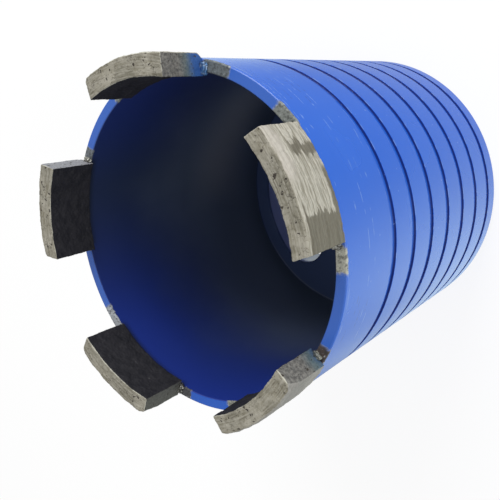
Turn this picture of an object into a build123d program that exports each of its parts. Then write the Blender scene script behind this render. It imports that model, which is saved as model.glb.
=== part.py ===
from build123d import *
import os

# Diamond core bit, for cutting a 68 mm hole in masonry.
# A steel tube is closed at the back by a thick plate, which is threaded for the drill's spindle and
# slotted so that dust and the cut core can leave. Five diamond segments stand on the tube's mouth.
# The bit stands on its back face at z = 0, with its axis on Z and its cutting end up.

os.makedirs("parts", exist_ok=True)

# ---------------------------------------------------------------- driving dimensions, in mm

# the tube
barrel_radius = 33.0
barrel_wall = 2.1
barrel_length = 70.0
rim_chamfer = 0.2          # both edges of the mouth
back_chamfer = 0.5         # the outer edge at the back

# the rings turned round the outside of the tube, which carry the dust away
groove_count = 7
groove_pitch = 8.1
first_groove = 16.3        # from the mouth to the middle of the first ring
groove_width = 1.7
groove_depth = 0.4

# the plate welded into the back of the tube
plate_thickness = 10.0
weld_chamfer = 0.6         # the groove between the plate and the tube, at the back
thread_radius = 8.0        # M16, at its nominal size
thread_chamfer = 1.0

# the arc slots through the plate
slot_count = 3
slot_land = 3.9            # the metal between a slot and the tube
slot_width = 12.0
slot_sweep = 58.0          # degrees between the centres of the slot's round ends
slot_edge = 0.4
first_slot_angle = 67.4    # degrees from +X to the middle of the first slot

# the diamond segments
segment_count = 5
segment_width = 19.4
segment_height = 9.6
segment_thickness = 3.8
segment_relief = 0.5       # how far a segment stands out past the tube
segment_corner = 0.6
segment_edge = 0.3
first_segment_angle = 90.0
segment_drift = [0.0, 1.5, 0.0, -1.0, -0.7]  # degrees that each was set off its even place

# ---------------------------------------------------------------- the barrel

bore_radius = barrel_radius - barrel_wall
groove_heights = [barrel_length - first_groove - groove_pitch * i for i in range(groove_count)]

with BuildPart() as barrel:
    # half of the tube's section, as X across and Z up
    with BuildSketch(Plane.XZ) as wall_section:
        with Locations((bore_radius, 0)):
            Rectangle(barrel_wall, barrel_length, align=(Align.MIN, Align.MIN))
        with Locations(*[(barrel_radius, height) for height in groove_heights]):
            Rectangle(2 * groove_depth, groove_width, mode=Mode.SUBTRACT)
        outside = wall_section.vertices().group_by(Axis.X)[-1].sort_by(Axis.Y)
        inside = wall_section.vertices().group_by(Axis.X)[0].sort_by(Axis.Y)
        chamfer([outside[-1], inside[-1]], rim_chamfer)
        chamfer(outside[0], back_chamfer)
        chamfer(inside[0], weld_chamfer)
    revolve(axis=Axis.Z)

# ---------------------------------------------------------------- the back plate

slot_radius = bore_radius - slot_land - slot_width / 2  # from the axis to a slot's centre line

with BuildPart() as back_plate:
    with BuildSketch():
        Circle(bore_radius)
        slot_line = Edge.make_circle(slot_radius, start_angle=-slot_sweep / 2, end_angle=slot_sweep / 2)
        with PolarLocations(0, slot_count, start_angle=first_slot_angle):
            SlotArc(slot_line, slot_width, mode=Mode.SUBTRACT)
    extrude(amount=plate_thickness)
    for face in (back_plate.faces().sort_by(Axis.Z)[0], back_plate.faces().sort_by(Axis.Z)[-1]):
        chamfer(face.inner_wires().edges(), slot_edge)
    chamfer(back_plate.faces().sort_by(Axis.Z)[0].outer_wire().edges(), weld_chamfer)
    # the spindle's thread goes right through and is countersunk at both faces
    Hole(thread_radius)
    chamfer(back_plate.edges().filter_by(GeomType.CIRCLE).filter_by(
        lambda edge: abs(edge.radius - thread_radius) < 0.01), thread_chamfer)

# ---------------------------------------------------------------- the diamond segments

segment_outside = barrel_radius + segment_relief
segment_inside = segment_outside - segment_thickness


def make_segment(angle):
    """One block of a ring with parallel ends, standing on the mouth of the barrel."""
    with BuildPart() as segment:
        with BuildSketch(Plane.XY.offset(barrel_length)):
            Circle(segment_outside)
            Circle(segment_inside, mode=Mode.SUBTRACT)
            with PolarLocations(0, 1, start_angle=angle):
                Rectangle(segment_outside, segment_width, align=(Align.MIN, Align.CENTER), mode=Mode.INTERSECT)
        extrude(amount=segment_height)
        fillet(segment.edges().filter_by(Axis.Z), segment_corner)
        chamfer(segment.faces().sort_by(Axis.Z)[-1].edges(), segment_edge)
    return segment.part


# ---------------------------------------------------------------- labels and files

barrel.part.label = "barrel"
export_step(barrel.part, "parts/barrel.step")

back_plate.part.label = "back_plate"
export_step(back_plate.part, "parts/back_plate.step")

for number in range(segment_count):
    even_angle = first_segment_angle + 360 / segment_count * number
    segment = make_segment(even_angle + segment_drift[number % len(segment_drift)])
    segment.label = f"segment_{number + 1}"
    export_step(segment, f"parts/segment_{number + 1}.step")
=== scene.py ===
# %% [markdown]
# # A diamond core bit
# A core bit is a steel tube with diamond segments on its mouth. It turns on a drill and cuts a
# ring into brick or block, and the round core that is left comes out of the tube.
# The construction is already settled in a CAD model, which is loaded here as a fixed frame.
# This lesson gives it its looks: the turned tube, the ground segments, the welds, the thread
# and the paint. Every new piece is made at the size and place of the CAD piece it stands for.

# %% The frame
from collections import namedtuple
from contextlib import contextmanager
from math import asin, cos, pi, radians, sin, sqrt, tau

import bmesh
import bpy
from mathutils import Matrix, Vector


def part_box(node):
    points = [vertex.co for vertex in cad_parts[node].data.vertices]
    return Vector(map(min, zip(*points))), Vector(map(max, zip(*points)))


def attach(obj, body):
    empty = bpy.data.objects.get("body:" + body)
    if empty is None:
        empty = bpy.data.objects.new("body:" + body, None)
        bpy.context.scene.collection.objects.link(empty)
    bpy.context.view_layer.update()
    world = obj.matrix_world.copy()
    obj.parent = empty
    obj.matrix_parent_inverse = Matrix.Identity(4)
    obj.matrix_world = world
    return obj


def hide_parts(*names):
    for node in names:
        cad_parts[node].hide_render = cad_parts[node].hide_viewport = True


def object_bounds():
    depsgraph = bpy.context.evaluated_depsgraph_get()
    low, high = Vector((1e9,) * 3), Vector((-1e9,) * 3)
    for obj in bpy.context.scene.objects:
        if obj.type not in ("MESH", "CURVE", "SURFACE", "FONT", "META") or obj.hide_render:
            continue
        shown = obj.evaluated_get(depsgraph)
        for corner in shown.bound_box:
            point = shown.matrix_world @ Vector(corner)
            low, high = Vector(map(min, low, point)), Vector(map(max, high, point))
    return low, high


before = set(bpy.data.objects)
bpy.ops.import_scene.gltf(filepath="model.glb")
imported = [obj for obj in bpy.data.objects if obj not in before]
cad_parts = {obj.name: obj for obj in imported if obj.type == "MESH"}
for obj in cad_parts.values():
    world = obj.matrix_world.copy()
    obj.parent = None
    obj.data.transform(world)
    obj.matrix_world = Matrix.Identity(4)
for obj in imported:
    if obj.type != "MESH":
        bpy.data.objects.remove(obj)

MM = 0.001
cad_low, cad_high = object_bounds()
print("CAD box in mm:", [round(side / MM, 1) for side in cad_high - cad_low])

# %% [markdown]
# ## Sizes
# The big sizes are read from the CAD nodes, so this file can't drift away from them: the tube's
# radius and length from the barrel, its bore and floor from the back plate, and the height of
# the cutting end from the whole. Only what a box can't tell is written here again.

# %% Sizes from the frame
barrel_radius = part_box("barrel")[1].x
barrel_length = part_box("barrel")[1].z
bore_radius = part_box("back_plate")[1].x
plate_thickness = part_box("back_plate")[1].z
segment_top = cad_high.z
print("barrel radius, bore radius and length in mm:",
      [round(size / MM, 2) for size in (barrel_radius, bore_radius, barrel_length)])

# %% Sizes of the rings, the segments and the thread
groove_count = 7
groove_pitch = 8.1 * MM
groove_width = 1.7 * MM
groove_depth = 0.4 * MM
first_groove = barrel_length - 16.3 * MM
rim_chamfer = 0.2 * MM
back_chamfer = 0.5 * MM
weld_chamfer = 0.6 * MM
thread_radius = 8.0 * MM
thread_crest = 6.92 * MM
thread_pitch = 2.0 * MM
thread_chamfer = 1.0 * MM

# %% [markdown]
# ## Modelling helpers
# An operator acts on all that is selected, and the CAD nodes arrive selected. So every piece is
# opened through one small function that lets go of everything else first. Three more helpers
# draw an outline point by point, pick parts of a mesh by their place, and apply a modifier.

# %% Let go of everything, and open one piece
def deselect_everything():
    for thing in bpy.context.selected_objects:
        thing.select_set(False)


@contextmanager
def editing(piece):
    """Opens one piece in edit mode with nothing selected in it, and closes it again."""
    deselect_everything()
    piece.select_set(True)
    bpy.context.view_layer.objects.active = piece
    bpy.ops.object.mode_set(mode="EDIT")
    bpy.ops.mesh.select_all(action="DESELECT")
    yield
    bpy.ops.object.mode_set(mode="OBJECT")


# %% Draw an outline
def draw_outline(name, points, closed=True):
    """A plane is merged to one point, and that point is extruded from corner to corner."""
    deselect_everything()
    bpy.ops.mesh.primitive_plane_add(size=MM)
    outline = bpy.context.object
    outline.name = name
    with editing(outline):
        bpy.ops.mesh.select_all(action="SELECT")
        bpy.ops.mesh.merge(type="CENTER")
        bpy.ops.transform.translate(value=points[0])
        corners = points[1:] + points[:1] if closed else points[1:]
        for here, there in zip(points, corners):
            step = Vector(there) - Vector(here)
            bpy.ops.mesh.extrude_region_move(TRANSFORM_OT_translate={"value": step})
        bpy.ops.mesh.select_all(action="SELECT")
        bpy.ops.mesh.remove_doubles(threshold=0.001 * MM)
    return outline


# %% Pick by place, apply a modifier, and name what was made
def pick(piece, kind, test):
    """Selects the verts, edges or faces of the open piece that pass a test."""
    mesh = bmesh.from_edit_mesh(piece.data)
    for part in getattr(mesh, kind):
        if test(part):
            part.select = True
    mesh.select_flush_mode()
    bmesh.update_edit_mesh(piece.data)


def apply_modifier(piece, kind, **settings):
    modifier = piece.modifiers.new(kind.title(), kind)
    for name, value in settings.items():
        setattr(modifier, name, value)
    bpy.context.view_layer.objects.active = piece
    bpy.ops.object.modifier_apply(modifier=modifier.name)


def smooth_by_angle(piece, angle=30):
    deselect_everything()
    piece.select_set(True)
    bpy.context.view_layer.objects.active = piece
    bpy.ops.object.shade_smooth_by_angle(angle=radians(angle))


def report(piece):
    size = [round(side / MM, 2) for side in piece.dimensions]
    print(f"{piece.name}: {len(piece.data.polygons)} faces, {size} mm")


# %% [markdown]
# ## The barrel
# On the real bit this is a length of steel tube, faced and chamfered at both ends, with seven
# shallow rings turned round it so that dust can travel back out of the hole.
# It could be a cylinder with loops pushed inwards, but then the bore would copy the rings. A
# lathe makes it from its section, and so does this cell: half of the section is drawn once, with
# a loop for the rings, and spun round the axis. A fine bevel then breaks every turned edge,
# because light catches on an edge and a perfectly sharp one never looks real.

# %% Draw the wall's section
wall_section = [
    (bore_radius, 0, weld_chamfer),
    (bore_radius, 0, barrel_length - rim_chamfer),
    (bore_radius + rim_chamfer, 0, barrel_length),
    (barrel_radius - rim_chamfer, 0, barrel_length),
    (barrel_radius, 0, barrel_length - rim_chamfer),
]
for number in range(groove_count):
    middle = first_groove - number * groove_pitch
    for radius, height in (
        (barrel_radius, middle + groove_width / 2),
        (barrel_radius - groove_depth, middle + groove_width / 2),
        (barrel_radius - groove_depth, middle - groove_width / 2),
        (barrel_radius, middle - groove_width / 2),
    ):
        wall_section.append((radius, 0, height))
wall_section += [
    (barrel_radius, 0, back_chamfer),
    (barrel_radius - back_chamfer, 0, 0),
    (bore_radius + weld_chamfer, 0, 0),
]
print("corners in the wall's section:", len(wall_section))

# %% Spin it round the axis
barrel = draw_outline("painted_barrel", wall_section)
with editing(barrel):
    bpy.ops.mesh.select_all(action="SELECT")
    bpy.ops.mesh.spin(steps=256, angle=tau, center=(0, 0, 0), axis=(0, 0, 1))
    bpy.ops.mesh.select_all(action="SELECT")
    bpy.ops.mesh.remove_doubles(threshold=0.001 * MM)
    bpy.ops.mesh.normals_make_consistent(inside=False)
apply_modifier(barrel, "BEVEL", width=0.06 * MM, segments=2, limit_method="ANGLE",
               angle_limit=radians(25), use_clamp_overlap=True)
smooth_by_angle(barrel, 50)
apply_modifier(barrel, "WEIGHTED_NORMAL", mode="FACE_AREA", weight=100, keep_sharp=True)
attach(barrel, "root")
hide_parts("barrel")
report(barrel)

# %% [markdown]
# ## The back plate
# The plate is a thick disc with three arc slots, and the CAD node already has its whole
# shape. A CAD mesh is loose triangles, though, so light breaks up on its round walls. A copy has
# its doubles merged, which lets Blender smooth the round walls, and weighted normals keep the
# flat faces flat.

# %% Merge a copy of the plate
deselect_everything()
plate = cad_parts["back_plate"].copy()
plate.data = plate.data.copy()
plate.name = "painted_back_plate"
bpy.context.scene.collection.objects.link(plate)
plate.parent = None
for key in [key for key in plate.keys() if key.startswith("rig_")]:
    del plate[key]
with editing(plate):
    bpy.ops.mesh.select_all(action="SELECT")
    bpy.ops.mesh.remove_doubles(threshold=0.001 * MM)
smooth_by_angle(plate, 30)
apply_modifier(plate, "WEIGHTED_NORMAL", mode="FACE_AREA", weight=100, keep_sharp=True)
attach(plate, "root")
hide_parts("back_plate")
report(plate)

# %% [markdown]
# ## The spindle thread
# The drill's spindle screws into an M16 thread. The plate's hole is at the thread's full
# diameter, so what is missing is the ridge that winds up its wall. The Screw modifier makes
# exactly that: it turns an outline while it lifts it by one pitch for each turn. The ridge runs
# from one countersink to the other, and both of its ends are closed.

# %% Wind the ridge and close its ends
ridge_root = thread_radius + 0.05 * MM
ridge_outline = [
    (ridge_root, 0, thread_chamfer),
    (thread_crest, 0, thread_chamfer + 0.43 * thread_pitch),
    (thread_crest, 0, thread_chamfer + 0.55 * thread_pitch),
    (ridge_root, 0, thread_chamfer + 0.98 * thread_pitch),
]
thread = draw_outline("spindle_thread", ridge_outline)
turns = round((plate_thickness - 2 * thread_chamfer) / thread_pitch) - 1
apply_modifier(thread, "SCREW", axis="Z", angle=tau, screw_offset=thread_pitch,
               iterations=turns, steps=96, render_steps=96, use_merge_vertices=False)
with editing(thread):
    bpy.ops.mesh.select_all(action="SELECT")
    bpy.ops.mesh.fill_holes(sides=4)
    bpy.ops.mesh.select_all(action="SELECT")
    bpy.ops.mesh.normals_make_consistent(inside=False)
smooth_by_angle(thread, 30)
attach(thread, "root")
report(thread)

# %% [markdown]
# ## The weld at the back
# The plate is held in the tube by a weld that fills the small groove between them. A weld bead
# is a row of frozen ripples. It starts as a ring of the bead's size, and every other band of
# faces is then fattened a little, which gives the ripples.

# %% Ring with ripples
bead_radius = 0.5 * MM
ripple_count = 85
deselect_everything()
bpy.ops.mesh.primitive_torus_add(major_segments=3 * ripple_count, minor_segments=10,
                                 major_radius=bore_radius, minor_radius=bead_radius,
                                 location=(0, 0, bead_radius + 0.08 * MM))
back_weld = bpy.context.object
back_weld.name = "back_weld"
bpy.ops.object.transform_apply(location=True, rotation=False, scale=False)
ring_order = tau / (3 * ripple_count)


def ring_number(vert):
    """Which of the torus's rings a vertex is on."""
    return round((Vector(vert.co.xy).angle_signed(Vector((1, 0))) + tau) / ring_order)


with editing(back_weld):
    pick(back_weld, "verts", lambda vert: ring_number(vert) % 3 == 0)
    bpy.ops.transform.shrink_fatten(value=0.06 * MM)
smooth_by_angle(back_weld, 60)
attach(back_weld, "root")
report(back_weld)

# %% [markdown]
# ## The diamond segments
# Each segment is pressed from metal powder and diamond grit, sintered, and welded on the mouth
# of the tube. It is a short piece of a ring that stands a little proud of the tube on both
# sides. Its corners are knocked about, and its skin is rough all over. So it is made in five
# steps: spin its section through a little more than its width, cut the two ends, turn it a
# little as it was set by hand, knock off the corners that took a blow, and turn the result into
# fine even faces that a noise can roughen.
# No two are quite alike, so a short table says how each one was set and how it has worn.

# %% How each segment was set
Segment = namedtuple("Segment", "angle half_width outside inside turned worn")
segment_settings = {
    # middle in degrees, half width, outer and inner radius in mm, degrees turned about its own
    # middle, and how much of its outer front edge has worn off in mm
    1: Segment(90.1, 9.75, 33.55, 29.75, 2.0, 0.15),
    2: Segment(163.6, 9.70, 33.70, 29.65, 1.7, 0.15),
    3: Segment(234.0, 9.85, 33.65, 29.70, 0.9, 0.15),
    4: Segment(304.8, 9.80, 33.45, 29.75, -0.3, 0.30),
    5: Segment(377.5, 9.95, 33.05, 29.60, -0.2, 0.30),
}


# %% Where a segment's parts point
def directions(angle):
    """Outwards and along the rim, as seen from a segment's middle."""
    outward = Vector((cos(angle), sin(angle), 0))
    along = Vector((-sin(angle), cos(angle), 0))
    return outward, along


def around(radius, angle, height):
    return Vector((radius * cos(angle), radius * sin(angle), height))


# %% Spin the section and cut the two ends
# A spin turns clockwise seen from above, so the section is drawn at the far end. The ends are
# almost parallel and fan out by only a few degrees. A worn front edge is one more corner.
seat_overlap = 0.12 * MM
fan = radians(4.5)


def block_of_ring(name, as_set):
    angle = radians(as_set.angle)
    inside, outside, half_width, worn = (
        size * MM for size in (as_set.inside, as_set.outside, as_set.half_width, as_set.worn))
    reach = asin(half_width / inside) + radians(5)
    corners = [(inside, barrel_length - seat_overlap), (outside, barrel_length - seat_overlap),
               (outside, segment_top - 2 * worn), (outside - worn, segment_top), (inside, segment_top)]
    piece = draw_outline(name, [around(radius, angle + reach, height) for radius, height in corners])
    outward, along = directions(angle)
    with editing(piece):
        bpy.ops.mesh.select_all(action="SELECT")
        bpy.ops.mesh.spin(steps=48, angle=2 * reach, center=(0, 0, 0), axis=(0, 0, 1))
        middle = outward * (inside + outside) / 2
        for end in (1, -1):
            bpy.ops.mesh.select_all(action="SELECT")
            bpy.ops.mesh.bisect(plane_co=middle + end * half_width * along,
                                plane_no=end * along * cos(fan) - outward * sin(fan),
                                use_fill=True, clear_outer=True)
        bpy.ops.mesh.select_all(action="SELECT")
        bpy.ops.transform.rotate(value=-radians(as_set.turned), orient_axis="Z", center_override=middle)
        bpy.ops.mesh.normals_make_consistent(inside=False)
    return piece


# %% [markdown]
# A blow or a rough core takes a bite out of a corner. Each bite below names the segment's end
# (1 is the end further round, -1 the other), the side (1 outer, -1 inner, 0 both), how much the
# cut faces forward (less than nothing is a cut at the foot), and how deep it is, in mm.

# %% Knock off corners
bites = {
    1: [(1, 1, 0.8, 0.5), (-1, 1, -1.0, 0.35)],
    2: [(-1, -1, 1.0, 0.2), (1, 1, 0.8, 0.5), (-1, 1, -1.0, 0.3)],
    3: [(-1, 0, 1.0, 0.15), (-1, 1, 0.6, 0.45), (1, 1, 0.2, 0.6)],
    4: [(-1, 1, 0.4, 0.45), (1, 1, 0.35, 0.65)],
    5: [(-1, 1, 0.8, 0.3), (1, 1, 0.6, 0.2)],
}


def knock_corners(piece, number, as_set):
    outward, along = directions(radians(as_set.angle))
    inside, outside, half_width = (
        size * MM for size in (as_set.inside, as_set.outside, as_set.half_width))
    with editing(piece):
        for end, side, upward, depth in bites[number]:
            radius = {-1: inside, 0: (inside + outside) / 2, 1: outside}[side]
            height = segment_top if upward > 0 else barrel_length
            corner = (outward * sqrt(radius ** 2 - half_width ** 2) + along * end * half_width
                      + Vector((0, 0, height)))
            facing = (along * end + outward * side + Vector((0, 0, upward))).normalized()
            bpy.ops.mesh.select_all(action="SELECT")
            bpy.ops.mesh.bisect(plane_co=corner - facing * depth * MM, plane_no=facing,
                                use_fill=True, clear_outer=True)


# %% Roughen the skin
def noise_texture(name, kind, size):
    texture = bpy.data.textures.new(name, kind)
    texture.noise_scale = size
    return texture


grit_noise = noise_texture("grit", "CLOUDS", 0.45 * MM)
lump_noise = noise_texture("lumps", "CLOUDS", 1.6 * MM)


def roughen(piece):
    apply_modifier(piece, "BEVEL", width=0.3 * MM, segments=3, limit_method="ANGLE",
                   angle_limit=radians(35))
    apply_modifier(piece, "REMESH", mode="VOXEL", voxel_size=0.15 * MM)
    apply_modifier(piece, "SMOOTH", iterations=3, factor=0.5)
    apply_modifier(piece, "DISPLACE", texture=lump_noise, strength=0.26 * MM, mid_level=0.6)
    apply_modifier(piece, "DISPLACE", texture=grit_noise, strength=0.13 * MM, mid_level=0.6)


# %% Make all five
segments = []
for number, as_set in segment_settings.items():
    piece = block_of_ring(f"diamond_segment_{number}", as_set)
    knock_corners(piece, number, as_set)
    roughen(piece)
    smooth_by_angle(piece, 60)
    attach(piece, "root")
    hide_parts(f"segment_{number}")
    segments.append(piece)
    report(piece)

# %% [markdown]
# ## The welds at the mouth
# A bright irregular bead fills the corner at both ends of each segment, from the inner edge of
# the rim to the outer one. The outside was ground flush with the tube, so no bead shows there.
# A bead follows a drawn path, which becomes a curve with a round section and then a mesh again,
# and the same kind of noise that roughened the segments makes it uneven.

# %% Lay beads in the corners
bead_noise = noise_texture("bead", "CLOUDS", 0.7 * MM)


def corner_path(as_set, end):
    """Along the bore for a little, then out across the rim, in the corner at one end."""
    angle = radians(as_set.angle)
    line = end * (as_set.half_width + 0.1) * MM
    width = barrel_radius - bore_radius - 0.75 * MM
    radii = [bore_radius + 0.15 * MM + step / 4 * width for step in range(5)]
    across = [around(radius, angle + asin(line / radius), barrel_length + 0.02 * MM) for radius in radii]
    turned_in = [around(bore_radius + 0.1 * MM, angle + asin((line - end * back * MM) / bore_radius),
                        barrel_length + 0.02 * MM) for back in (1.2, 0.6)]
    return turned_in + across


def lay_bead(name, path, size):
    bead = draw_outline(name, path, closed=False)
    deselect_everything()
    bead.select_set(True)
    bpy.context.view_layer.objects.active = bead
    bpy.ops.object.convert(target="CURVE")
    bead.data.bevel_depth = size
    bead.data.bevel_resolution = 3
    bead.data.use_fill_caps = True
    bpy.ops.object.convert(target="MESH")
    apply_modifier(bead, "REMESH", mode="VOXEL", voxel_size=0.09 * MM)
    apply_modifier(bead, "DISPLACE", texture=bead_noise, strength=0.7 * MM, mid_level=0.7)
    smooth_by_angle(bead, 60)
    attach(bead, "root")
    return bead


# %% One bead at each end of each segment
bead_sizes = {
    # the bead's radius in mm at the end further round, and at the other
    1: (0.60, 0.95), 2: (0.55, 0.75), 3: (0.80, 0.60), 4: (0.70, 0.60), 5: (0.60, 0.65),
}
mouth_welds = []
for number, as_set in segment_settings.items():
    for end, side, size in ((1, "left", bead_sizes[number][0]), (-1, "right", bead_sizes[number][1])):
        mouth_welds.append(lay_bead(f"mouth_weld_{number}_{side}", corner_path(as_set, end), size * MM))
report(mouth_welds[0])

# %% [markdown]
# ## Writing shaders as sums
# A finish is mostly arithmetic: how far up, how far round, how rough, more here and less there.
# Node by node that is slow to read, so a socket is wrapped in a small class whose plus, minus,
# times and compare add the Math nodes. Everything else comes from one method that makes a node
# from its type, its settings and its inputs.

# %% A socket that does sums
class Value:
    """A number that varies over the surface."""

    def __init__(self, finish, socket):
        self.finish, self.socket = finish, socket

    def math(self, operation, *others):
        sockets = dict(enumerate((self, *others)))
        return self.finish.add("ShaderNodeMath", {"operation": operation}, sockets)

    def __add__(self, other):
        return self.math("ADD", other)

    __radd__ = __add__

    def __sub__(self, other):
        return self.math("SUBTRACT", other)

    def __rsub__(self, other):
        return self * -1.0 + other

    def __mul__(self, other):
        return self.math("MULTIPLY", other)

    __rmul__ = __mul__

    def __truediv__(self, other):
        return self.math("DIVIDE", other)

    def __abs__(self):
        return self.math("ABSOLUTE")

    def ramp(self, low, high):
        """0 below low, 1 above high, and a soft slope between; it falls if high is below low."""
        settings = {"interpolation_type": "SMOOTHSTEP"}
        sockets = {"Value": self, "From Min": low, "From Max": high}
        return self.finish.add("ShaderNodeMapRange", settings, sockets)


# %% A finish: one material and its nodes
class Finish:
    """A material, and short ways to add to it."""

    def __init__(self, name):
        self.material = bpy.data.materials.new(name)
        self.material.use_nodes = True
        self.tree = self.material.node_tree
        self.tree.nodes.clear()
        self.place = self.add("ShaderNodeTexCoord", out="Object")
        self.facing = self.add("ShaderNodeTexCoord", out="Normal")
        self.x, self.y, self.z = self.split(self.place)
        self.radius = (self.x * self.x + self.y * self.y).math("SQRT")
        self.turn = self.y.math("ARCTAN2", self.x)
        self.degrees = self.turn * (180 / pi)

    def add(self, kind, settings=None, sockets=None, out=0):
        node = self.tree.nodes.new(kind)
        for name, value in (settings or {}).items():
            setattr(node, name, value)
        for name, value in (sockets or {}).items():
            if isinstance(value, Value):
                self.tree.links.new(value.socket, node.inputs[name])
            else:
                node.inputs[name].default_value = value
        return Value(self, node.outputs[out]) if node.outputs else None

    def split(self, vector):
        """The three parts of a vector."""
        return [self.add("ShaderNodeSeparateXYZ", {}, {0: vector}, out=axis) for axis in "XYZ"]

    def vector(self, x, y, z):
        return self.add("ShaderNodeCombineXYZ", {}, {0: x, 1: y, 2: z})

    def noise(self, scale, detail=2.0, where=None, roughness=0.5):
        sockets = {"Vector": where or self.place, "Scale": scale, "Detail": detail,
                   "Roughness": roughness}
        return self.add("ShaderNodeTexNoise", {}, sockets)

    def blend(self, amount, first, second):
        """A colour that goes from the first to the second as amount goes from 0 to 1."""
        sockets = {0: amount, 6: colour(first), 7: colour(second)}
        return self.add("ShaderNodeMix", {"data_type": "RGBA"}, sockets, out=2)

    def between(self, value, low, high, soft):
        """1 where the value lies from low to high, with soft flanks."""
        middle, half = (low + high) / 2, (high - low) / 2
        return abs(value - middle).ramp(half + soft / 2, half - soft / 2)

    def bump(self, height, distance, strength=1.0, normal=None):
        sockets = {"Height": height, "Distance": distance, "Strength": strength}
        if normal:
            sockets["Normal"] = normal
        return self.add("ShaderNodeBump", {}, sockets)

    def surface(self, **sockets):
        """The last node: a Principled shader on the material's output."""
        named = {name.replace("_", " "): value for name, value in sockets.items()}
        shader = self.add("ShaderNodeBsdfPrincipled", {}, named)
        self.add("ShaderNodeOutputMaterial", {}, {"Surface": shader})
        return self.material


def colour(value):
    return value if isinstance(value, Value) else (*value, 1.0)


# %% [markdown]
# ## Blue paint
# The tube, the plate and the weld between them were sprayed in one go. The paint is a satin
# blue. Under it the tube was turned, so very fine lines run round it, and the coat breaks up
# light a little like the skin of an orange. Handling has left short scratches round the mouth
# and a few pale specks. At the mouth the heat of the welding and a wire wheel took the paint off
# the rim beside each segment, and the bare steel there has painted glints. Some light and shade
# is painted into the colour: the rings are darker as painted shade, the rim's top is paler on the
# low side, a pale line round the plate's edge is a painted highlight, and the walls of the slots
# are painted pale as painted light. The bore is painted brighter on the low side and paler with
# depth, with a painted sheen, and painted shade under the segments. One slot's end is painted as
# bright bare metal, which is a stand-in for light: on the real bit it is probably daylight seen
# through the slot, which this plate is too thick, or this slot too short, to let past.
# Angle and height round the axis are worked out from the object's own coordinates, so the lines
# run round the tube from any side.

# %% Where the rim is bare
bare_patches = [
    # from and to, in degrees round the rim, and the colour of the steel there
    (-9.0, -1.0, (0.50, 0.50, 0.42)), (-38.5, -33.0, (0.075, 0.055, 0.050)),
    (-84.5, -72.0, (0.30, 0.31, 0.26)), (-109.5, -102.5, (0.08, 0.08, 0.085)),
    (-154.5, -144.0, (0.45, 0.48, 0.52)), (172.0, 187.5, (0.33, 0.40, 0.52)),
    (140.5, 146.5, (0.17, 0.19, 0.21)), (106.0, 116.5, (0.24, 0.26, 0.23)),
    (62.0, 72.5, (0.15, 0.17, 0.18)), (34.5, 43.0, (0.24, 0.26, 0.24)),
]


def bare_rim(finish):
    """How bare the rim is, and the colour of the steel there, with painted glints in it."""
    ragged = (finish.noise(900.0, 3.0) - 0.5) * 3.0
    turn = finish.degrees + ragged
    near_rim = (finish.z + (finish.noise(1500.0) - 0.5) * 0.6 * MM).ramp(barrel_length - 0.45 * MM,
                                                                      barrel_length - 0.25 * MM)
    low, high, steel = bare_patches[0]
    bare = finish.between(turn, low, high, 1.2)
    for low, high, tone in bare_patches[1:]:
        inside = finish.between(turn, low, high, 1.2)
        steel = finish.blend(inside, steel, tone)
        bare = bare + inside
    patchy = finish.noise(1500.0, 4.0, roughness=0.7)
    steel = finish.blend(patchy.ramp(0.53, 0.40) * 0.7, steel, (0.035, 0.035, 0.035))
    # Painted glints: near-white specks on the bare steel.
    steel = finish.blend(patchy.ramp(0.62, 0.70), steel, (0.80, 0.84, 0.84))
    return bare * near_rim, steel


# %% Where the mouth is scratched
scratches = [
    # height below the rim, from and to in degrees, width, all scratches run round the tube; pale or dark
    (2.2, 43.0, 53.0, 0.10, "pale"), (1.2, 44.0, 50.0, 0.10, "pale"), (5.6, 40.5, 53.5, 0.12, "pale"),
    (3.9, 43.0, 54.0, 0.10, "dark"), (8.0, 41.0, 52.5, 0.12, "dark"), (9.6, 46.0, 50.0, 0.12, "dark"),
    (7.8, 39.2, 40.6, 0.30, "pale"), (2.7, 32.2, 33.6, 0.25, "pale"), (2.2, 35.8, 37.6, 0.25, "pale"),
    (0.9, 46.2, 47.4, 0.30, "pale"), (14.0, 24.5, 30.5, 0.12, "pale"), (10.8, 15.4, 16.4, 0.25, "pale"),
    (4.6, 7.6, 9.4, 0.25, "pale"), (4.4, -23.0, -17.0, 0.16, "dark"), (6.2, -28.5, -22.5, 0.14, "dark"),
    (5.2, -21.0, -18.5, 0.16, "dark"), (8.3, -24.5, -20.5, 0.14, "dark"), (3.1, -32.0, -27.5, 0.14, "dark"),
]


def scratched(finish, tone):
    total = 0.0
    turn = finish.degrees
    height = finish.z + turn * 0.015 * MM + (finish.noise(600.0, 1.0) - 0.5) * 0.5 * MM
    for depth, low, high, width, kind in scratches:
        if kind == tone:
            level = barrel_length - depth * MM + (low + high) / 2 * 0.015 * MM
            line = abs(height - level).ramp(width * MM, width * 0.3 * MM)
            total = line * finish.between(turn, low, high, 1.5) + total
    return total.math("MINIMUM", 1.0) * finish.noise(1400.0, 2.0).ramp(0.35, 0.6)


# %% Paint outside and inside the tube
def groove_places(finish):
    """How far a point lies behind its ring's middle, and whether it is down in the ring."""
    rings = (first_groove - finish.z) / groove_pitch
    behind = (rings - rings.math("ROUND")) * groove_pitch
    return behind, finish.radius.ramp(barrel_radius - 0.02 * MM, barrel_radius - 0.10 * MM)


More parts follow.
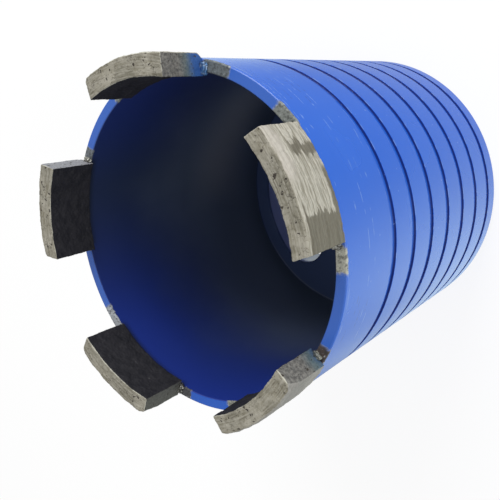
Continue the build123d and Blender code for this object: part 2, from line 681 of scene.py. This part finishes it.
def outside_paint(finish, cloud):
    base = finish.blend(cloud, (0.013, 0.118, 0.63), (0.021, 0.144, 0.70))
    behind, sunk = groove_places(finish)
    # Painted shade: the rings are darker blue, darkest at the wall behind each ring's middle and a little
    # darker at the wall in front.
    base = finish.blend(sunk * 0.25, base, (0.010, 0.070, 0.42))
    base = finish.blend(sunk * behind.ramp(0.54 * MM, 0.70 * MM) * 0.9, base, (0.004, 0.014, 0.16))
    base = finish.blend(sunk * behind.ramp(-0.65 * MM, -0.80 * MM) * 0.4, base, (0.006, 0.03, 0.22))
    ring_edge = finish.between(behind.math("ABSOLUTE"), 0.82 * MM, 0.98 * MM, 0.06 * MM)
    worn = ring_edge * (1.0 - sunk) * finish.noise(500.0, 2.0).ramp(0.50, 0.62)
    speck = finish.noise(1300.0, 1.0).ramp(0.77, 0.80)
    pale = (scratched(finish, "pale") * 0.45 + speck * 0.35 + worn * 0.45).math("MINIMUM", 1.0)
    base = finish.blend(pale, base, (0.30, 0.46, 0.78))
    return finish.blend(scratched(finish, "dark") * 0.6, base, (0.010, 0.035, 0.17))


def bore_paint(finish, cloud):
    """Blue spray reached in from the mouth, and elsewhere the paint lies thinly over dark steel.

    Painted light and shade: the blue is brighter on the low side, the bore grows paler with
    depth, and a dark band under the segments is painted shade. The pale streak (sheen) is a
    highlight that is painted in, and it doesn't move with the light.
    """
    reach = finish.z + (cloud - 0.5) * 16 * MM
    sprayed = reach.ramp(barrel_length - 58 * MM, barrel_length + 6 * MM)
    up = finish.y / finish.radius
    # Painted light and shade: the blue is brightest on the low side, less bright on the high side, and
    # dimmest between.
    painted_light_side = up.ramp(0.45, -0.85) * 0.85 + up.ramp(0.35, 0.95) * 0.4 + 0.15
    # Painted light: the bore grows paler with depth.
    thin_coat_and_painted_light = finish.blend(reach.ramp(barrel_length - 8 * MM, barrel_length - 40 * MM),
                        (0.017, 0.029, 0.052), (0.105, 0.140, 0.195))
    sheen = (finish.x * cos(radians(140)) + finish.y * sin(radians(140))) / finish.radius
    sheen = sheen.ramp(0.75, 1.0) * finish.between(finish.z, 20 * MM, 34 * MM, 14 * MM)
    thin_coat_and_painted_light = finish.blend(sheen * 0.8, thin_coat_and_painted_light, (0.26, 0.28, 0.31))
    on_plate = finish.z.ramp(plate_thickness + 0.5 * MM, plate_thickness)
    thin_coat_and_painted_light = finish.blend(on_plate, thin_coat_and_painted_light, (0.068, 0.112, 0.250))
    paint = finish.blend(sprayed * painted_light_side, thin_coat_and_painted_light, (0.011, 0.035, 0.29))
    turn = finish.degrees
    middles = [(as_set.angle + 180) % 360 - 180 for as_set in segment_settings.values()]
    under = finish.between(turn, middles[0] - 19, middles[0] + 19, 3.0)
    for middle in middles[1:]:
        under = under + finish.between(turn, middle - 19, middle + 19, 3.0)
    # Painted shade: a dark band on the bore under each segment's overhang.
    shade_under_segments = under * finish.z.ramp(barrel_length - 2.4 * MM, barrel_length - 0.2 * MM)
    return finish.blend(shade_under_segments * 0.85, paint, (0.008, 0.013, 0.016))


def blue_paint(name):
    finish = Finish(name)
    around_tube = finish.vector(finish.turn * 0.004, finish.z, finish.radius)
    turned_lines = finish.noise(5200.0, 2.0, around_tube)
    peel = finish.noise(700.0, 2.0)
    cloud = finish.noise(60.0, 3.0)
    mottle = finish.noise(2600.0, 3.0)

    inner = finish.radius.ramp(bore_radius + 0.25 * MM, bore_radius + 0.05 * MM)
    base = finish.blend(inner, outside_paint(finish, cloud), bore_paint(finish, cloud))
    facing_z = finish.split(finish.facing)[2]
    # Painted light: the rim's top is paler blue on the low side.
    top = facing_z.ramp(0.5, 0.8) * finish.z.ramp(barrel_length - MM, barrel_length - 0.5 * MM)
    low_side = (finish.y / finish.radius).ramp(-0.98, -0.7)
    base = finish.blend(top * low_side * 0.6, base, (0.065, 0.175, 0.62))
    # Painted light: the walls of the slots are pale blue, and one slot's end is near-white bare metal that
    # stands in for daylight seen through the slot.
    mid_plate = finish.between(finish.z, 0.5 * MM, plate_thickness - 0.5 * MM, 0.4 * MM)
    slot_wall_light = mid_plate * finish.radius.ramp(bore_radius - MM, bore_radius - 2 * MM)
    base = finish.blend(slot_wall_light, base, (0.30, 0.36, 0.68))
    turn = finish.degrees
    bright_end = slot_wall_light * finish.between(turn, -148.0, -114.0, 6.0) * finish.z.ramp(9.6 * MM, 7.5 * MM)
    bright_end = bright_end * finish.radius.ramp(12 * MM, 13 * MM)
    base = finish.blend(bright_end, base, (0.93, 0.93, 0.95))
    # Painted highlight: a pale line round the plate's edge where it meets the bore, on one side.
    plate_edge_highlight = finish.between(finish.radius, bore_radius - 0.45 * MM, bore_radius - 0.05 * MM, 0.15 * MM)
    plate_edge_highlight = plate_edge_highlight * finish.between(finish.z, plate_thickness - 0.1 * MM, plate_thickness + 0.1 * MM,
                                 0.05 * MM)
    base = finish.blend(plate_edge_highlight * finish.between(turn, -155.0, -95.0, 20.0) * 0.7, base, (0.20, 0.23, 0.31))
    bare, steel = bare_rim(finish)
    base = finish.blend(bare, base, steel)
    roughness = (0.24 + cloud * 0.06 + bare * 0.2 + inner * 0.22) * (1.0 - bright_end * 0.6)
    height = turned_lines * 0.35 + peel + mottle * bare * 3.0
    normal = finish.bump(height, 0.008 * MM, 0.6)
    return finish.surface(Base_Color=base, Roughness=roughness, Metallic=bright_end, Normal=normal,
                          IOR=1.5)


def dress(piece, material):
    piece.data.materials.clear()
    piece.data.materials.append(material)


paint = blue_paint("blue_paint")
for piece in (barrel, plate, back_weld):
    dress(piece, paint)
print("painted:", barrel.name, plate.name, back_weld.name)

# %% [markdown]
# ## Sintered metal
# One segment shows four different skins. The front that does the cutting is pale and pitted. The
# outside was ground to size, so it has fine bright lines along the rim and duller places that the
# wheel missed. The ends are grey and grainy, and near the foot some blue paint drifted onto
# them. The inside is painted nearly black, as painted shade. The pale front edges and a pale band
# along the top of one segment's outside are partly wear and partly painted highlight, and a dark
# line just under that segment's front edge is painted shade. The skins are told apart by the
# direction of the surface: upwards is the front, away from the axis is the outside, towards it
# the inside.

# %% Metal of the segments
def sintered_metal(name):
    finish = Finish(name)
    facing_x, facing_y, facing_z = finish.split(finish.facing)
    away = (facing_x * finish.x + facing_y * finish.y) / finish.radius
    grain = finish.noise(1900.0, 3.0, roughness=0.7)
    mottle = finish.noise(420.0, 3.0)
    pits = finish.noise(1150.0, 2.0).ramp(0.64, 0.70)
    turn = finish.degrees
    height = finish.z - barrel_length

    along_rim = finish.vector(finish.turn * 0.0022, finish.z, finish.radius)
    lines = finish.noise(3800.0, 3.0, along_rim).ramp(0.35, 0.65)
    front = finish.blend(mottle.ramp(0.3, 0.7), (0.235, 0.215, 0.155), (0.42, 0.395, 0.32))
    front = finish.blend(finish.noise(170.0, 1.0).ramp(0.45, 0.62) * 0.55, front, (0.20, 0.19, 0.145))
    front = finish.blend(lines * 0.5, front, (0.56, 0.535, 0.46))
    cracks = abs(finish.noise(650.0, 3.0) - 0.5).ramp(0.014, 0.004)
    cracks = cracks * finish.noise(300.0, 1.0).ramp(0.50, 0.58)
    front = finish.blend(cracks * 0.8, front, (0.07, 0.062, 0.045))
    dark_lines = finish.noise(3000.0, 3.0, along_rim).ramp(0.60, 0.72)
    front = finish.blend(dark_lines * 0.6, front, (0.12, 0.10, 0.07))
    front = finish.blend(grain.ramp(0.56, 0.66) * 0.5, front, (0.13, 0.11, 0.075))

    ground = finish.blend(lines, (0.30, 0.28, 0.22), (0.58, 0.555, 0.48))
    fingers = (finish.noise(1500.0, 2.0, along_rim) - 0.5) * 9.0
    missed = finish.between(turn + fingers, 25.0, 28.8, 0.8) * height.ramp(6.4 * MM, 5.4 * MM)
    missed = finish.between(turn + fingers, -6.0, 9.5, 0.8) * height.ramp(9.2 * MM, 8.4 * MM) + missed
    low_edge = (height + mottle * 1.5 * MM).ramp(1.9 * MM, 1.5 * MM)
    missed = finish.between(turn, 8.0, 21.0, 2.0) * low_edge + missed
    patches = finish.noise(260.0, 2.0, along_rim) * 0.7 + finish.noise(330.0, 2.0) * 0.3
    other = (abs(turn - 17.0)).ramp(20.0, 24.0) * patches.ramp(0.47, 0.60) * 0.6
    missed = (missed + other).math("MINIMUM", 1.0)
    unground = finish.blend(lines * 0.35, (0.140, 0.126, 0.092), (0.24, 0.22, 0.17))
    outside = finish.blend(missed * 0.9, ground, unground)
    outside = finish.blend(finish.between(turn, -82.0, -36.0, 4.0) * 0.7, outside, (0.30, 0.29, 0.285))
    # A pale band along the top of the outside: partly wear, partly painted highlight.
    worn_band_and_highlight = finish.between(turn + fingers * 0.4, 19.0, 36.0, 5.0)
    worn_band_and_highlight = worn_band_and_highlight * (height + (mottle - 0.5) * 4 * MM).ramp(6.4 * MM, 8.0 * MM)
    outside = finish.blend(worn_band_and_highlight * (0.2 + mottle * 0.6), outside, (0.60, 0.555, 0.50))
    # Painted shade: a dark line along the outside just under the front edge.
    shadow_line = finish.between(turn, -2.0, 13.0, 2.0) * finish.between(height, 8.5 * MM, 8.9 * MM, 0.3 * MM)
    outside = finish.blend(shadow_line * 0.7, outside, (0.11, 0.092, 0.062))

    ends = finish.blend(grain.ramp(0.3, 0.7), (0.095, 0.092, 0.086), (0.26, 0.25, 0.23))
    lilac = finish.between(turn, 140.0, 150.0, 2.0) + finish.between(turn, -80.0, -68.0, 2.0) * 0.5
    ends = finish.blend(lilac * 0.8, ends, (0.31, 0.31, 0.345))
    ends = finish.blend(finish.between(turn, -115.0, -100.0, 2.0) * 0.65, ends, (0.050, 0.052, 0.042))
    paint_line = height + (mottle - 0.5) * 2.0 * MM
    near_first = finish.between(turn, 60.0, 80.0, 4.0)
    near_fourth = finish.between(turn, -45.0, -30.0, 4.0)
    teal = paint_line.ramp(5.8 * MM, 2.9 * MM) * near_first
    teal = teal + paint_line.ramp(4.2 * MM, 1.2 * MM) * near_fourth
    blue = paint_line.ramp(4.1 * MM, 2.0 * MM) * near_first
    blue = blue + paint_line.ramp(1.8 * MM, 0.2 * MM) * near_fourth * 0.35
    ends = finish.blend(teal * 0.6, ends, (0.07, 0.16, 0.20))
    ends = finish.blend(blue * 0.9, ends, (0.025, 0.115, 0.41))
    # Painted shade: the inside is nearly black.
    inside = finish.blend(mottle.ramp(0.3, 0.7), (0.014, 0.014, 0.019), (0.026, 0.025, 0.031))

    base = finish.blend(away.ramp(0.45, 0.65), ends, outside)
    base = finish.blend(away.ramp(-0.45, -0.65), base, inside)
    base = finish.blend(facing_z.ramp(0.5, 0.75), base, front)
    # Pale front edges: partly wear, partly painted highlight.
    front_edge = away.ramp(0.45, 0.25) + finish.between(turn, 60.0, 112.0, 4.0) * away.ramp(0.4, 0.6)
    front_edge = front_edge * finish.between(facing_z, 0.35, 0.85, 0.2)
    base = finish.blend(front_edge * mottle.ramp(0.35, 0.55) * 0.8, base, (0.66, 0.65, 0.55))
    pits = pits * finish.between(away, -0.4, 0.4, 0.2)
    base = finish.blend(pits, base, (0.055, 0.045, 0.035))
    relief = (grain * 0.5 + mottle + lines * 0.3) * away.ramp(-0.9, -0.3) - pits * 1.6
    normal = finish.bump(relief, 0.07 * MM, 0.8)
    return finish.surface(Base_Color=base, Roughness=0.60 + grain * 0.15, Metallic=0.2, Normal=normal)


segment_metal = sintered_metal("sintered_metal")
for piece in segments:
    dress(piece, segment_metal)
print("sintered:", len(segments), "segments")

# %% [markdown]
# ## Bare weld and cut thread
# The bead is bare steel that cooled in air, dark straw to brown, with near-white flecks from a
# noise that are painted glints. The thread is hidden from where the camera stands, so its finish
# is a guess: clean turned steel, as if it had been cut after the plate was painted.

# %% Steel of the beads and the thread
def bare_steel(name, dull, bright, roughness, relief, painted=0.0):
    """relief is the depth of the grain, and painted is how much of the blue drifted onto it."""
    finish = Finish(name)
    grain = finish.noise(2400.0, 3.0)
    # The grain runs from dull to bright; on the weld beads the bright end is near white, as painted glints,
    # and on the thread it is only a paler grain.
    base = finish.blend(grain.ramp(0.40, 0.62), dull, bright)
    turn = finish.degrees
    drifted = finish.between(turn, 60.0, 80.0, 4.0) + finish.between(turn, -45.0, -30.0, 4.0) * 0.25
    base = finish.blend(finish.between(turn, -45.0, -30.0, 4.0) * 0.8, base, (0.30, 0.27, 0.16))
    drifted = drifted * (0.75 + finish.noise(1500.0, 1.0).ramp(0.60, 0.45) * 0.25)
    base = finish.blend(drifted * painted, base, (0.06, 0.19, 0.44))
    sooty = finish.between(turn, -112.0, -104.0, 1.0) * 0.8
    base = finish.blend(sooty * painted * grain.ramp(0.60, 0.50), base, (0.03, 0.03, 0.03))
    normal = finish.bump(grain, relief, 0.8)
    return finish.surface(Base_Color=base, Roughness=roughness + grain * 0.15, Metallic=0.7,
                          Normal=normal)


weld_steel = bare_steel("weld_steel", (0.12, 0.115, 0.10), (0.62, 0.62, 0.56),
                        roughness=0.35, relief=0.05 * MM, painted=0.9)
thread_steel = bare_steel("thread_steel", (0.38, 0.38, 0.39), (0.46, 0.46, 0.47),
                          roughness=0.28, relief=0.006 * MM)
for bead in mouth_welds:
    dress(bead, weld_steel)
dress(thread, thread_steel)
print("bare steel:", len(mouth_welds), "beads and the thread")

# %% [markdown]
# ## The studio
# The bit stands on a pale floor. A camera sees the floor as almost white, but part of it stays an
# ordinary matt floor, so the object keeps its shadow. Reflections see something else: cards, as a
# photographer sets them, which are up to 1.6 times as bright as white on one side of the bit and
# much darker on the others. They give the paint its sheen, so under a plain white floor the
# outside looks different. One large soft lamp stands low at one side, a second fills in from
# another side, and the sky gives the rest.

# %% Floor
deselect_everything()
bpy.ops.mesh.primitive_plane_add(size=6.0)
floor = bpy.context.object
floor.name = "floor"
card_turn = radians(60)
floor_finish = Finish("pale_floor")
seen = floor_finish.add("ShaderNodeLightPath", out="Is Camera Ray")
mirrored = floor_finish.add("ShaderNodeLightPath", out="Is Glossy Ray")
beside = floor_finish.x / floor_finish.radius
behind = floor_finish.y / floor_finish.radius
card_side = beside * cos(card_turn) + behind * sin(card_turn)
card_near = floor_finish.blend(floor_finish.radius.ramp(60 * MM, 30 * MM),
                               (0.32, 0.34, 0.34), (0.62, 0.64, 0.62))
in_paint = floor_finish.blend(card_side.ramp(0.0, 0.95), (1.35, 1.60, 1.48), card_near)
away = beside.ramp(0.15, -0.75) * behind.ramp(0.1, -0.5)
below = behind.ramp(-0.6, -0.95) * floor_finish.radius.ramp(25 * MM, 60 * MM)
darker = (away * 0.8 + below * 0.48).math("MINIMUM", 0.9)
in_paint = floor_finish.blend(darker, in_paint, (0.2, 0.2, 0.2))
# Painted shadow: right under the bit the floor is dark in reflections.
in_paint = floor_finish.blend(floor_finish.radius.ramp(30 * MM, 22 * MM), in_paint, (0.09, 0.11, 0.20))
shown = floor_finish.blend(seen, in_paint, (1.1, 1.1, 1.1))
matt = floor_finish.add("ShaderNodeBsdfDiffuse", {}, {"Color": (0.9, 0.9, 0.9, 1.0)})
white = floor_finish.add("ShaderNodeEmission", {}, {"Color": shown})
both = floor_finish.add("ShaderNodeMixShader", {}, {0: seen * 0.75 + mirrored * 0.9, 1: matt, 2: white})
floor_finish.add("ShaderNodeOutputMaterial", {}, {"Surface": both})
dress(floor, floor_finish.material)

# %% Sky and lamps
world = bpy.data.worlds.new("studio")
bpy.context.scene.world = world
world.use_nodes = True
world.node_tree.nodes["Background"].inputs["Color"].default_value = (1.0, 1.0, 1.0, 1.0)
world.node_tree.nodes["Background"].inputs["Strength"].default_value = 0.5


def soft_lamp(name, turn, height, size, power, distance=0.8):
    """A square lamp in a direction from the bit, in degrees round it and degrees above it."""
    turn, height = radians(turn), radians(height)
    direction = Vector((cos(turn) * cos(height), sin(turn) * cos(height), sin(height)))
    deselect_everything()
    bpy.ops.object.light_add(type="AREA", location=Vector((0, 0, barrel_length)) + distance * direction)
    lamp = bpy.context.object
    lamp.name = name
    lamp.data.size = size
    lamp.data.energy = power
    lamp.rotation_euler = direction.to_track_quat("Z", "Y").to_euler()


soft_lamp("key_lamp", 85, 25, 0.45, 3.9)
soft_lamp("side_lamp", -15, 20, 0.45, 1.9)

# %% [markdown]
# ## The camera
# The camera looks down into the mouth from one side, a little rolled, so that the tube runs away
# to the upper right. It is placed by three directions: where it stands, where it looks, and which
# way is up in the picture.

# %% Camera
camera_place = Vector((80.8, 16.8, 148.8)) * MM
looks_along = Vector((-0.6368, -0.1715, -0.7517)).normalized()
picture_up = Vector((0.0, 0.9749, -0.2224))
picture_right = looks_along.cross(picture_up).normalized()
picture_up = picture_right.cross(looks_along)
camera_data = bpy.data.cameras.new("camera")
camera_data.sensor_width = 36.0
camera_data.lens = 44.1
camera_data.clip_start = 5 * MM
camera = bpy.data.objects.new("camera", camera_data)
bpy.context.scene.collection.objects.link(camera)
axes = Matrix((picture_right, picture_up, -looks_along)).transposed().to_4x4()
camera.matrix_world = Matrix.Translation(camera_place) @ axes
bpy.context.scene.camera = camera
bpy.context.scene.view_settings.view_transform = "Standard"
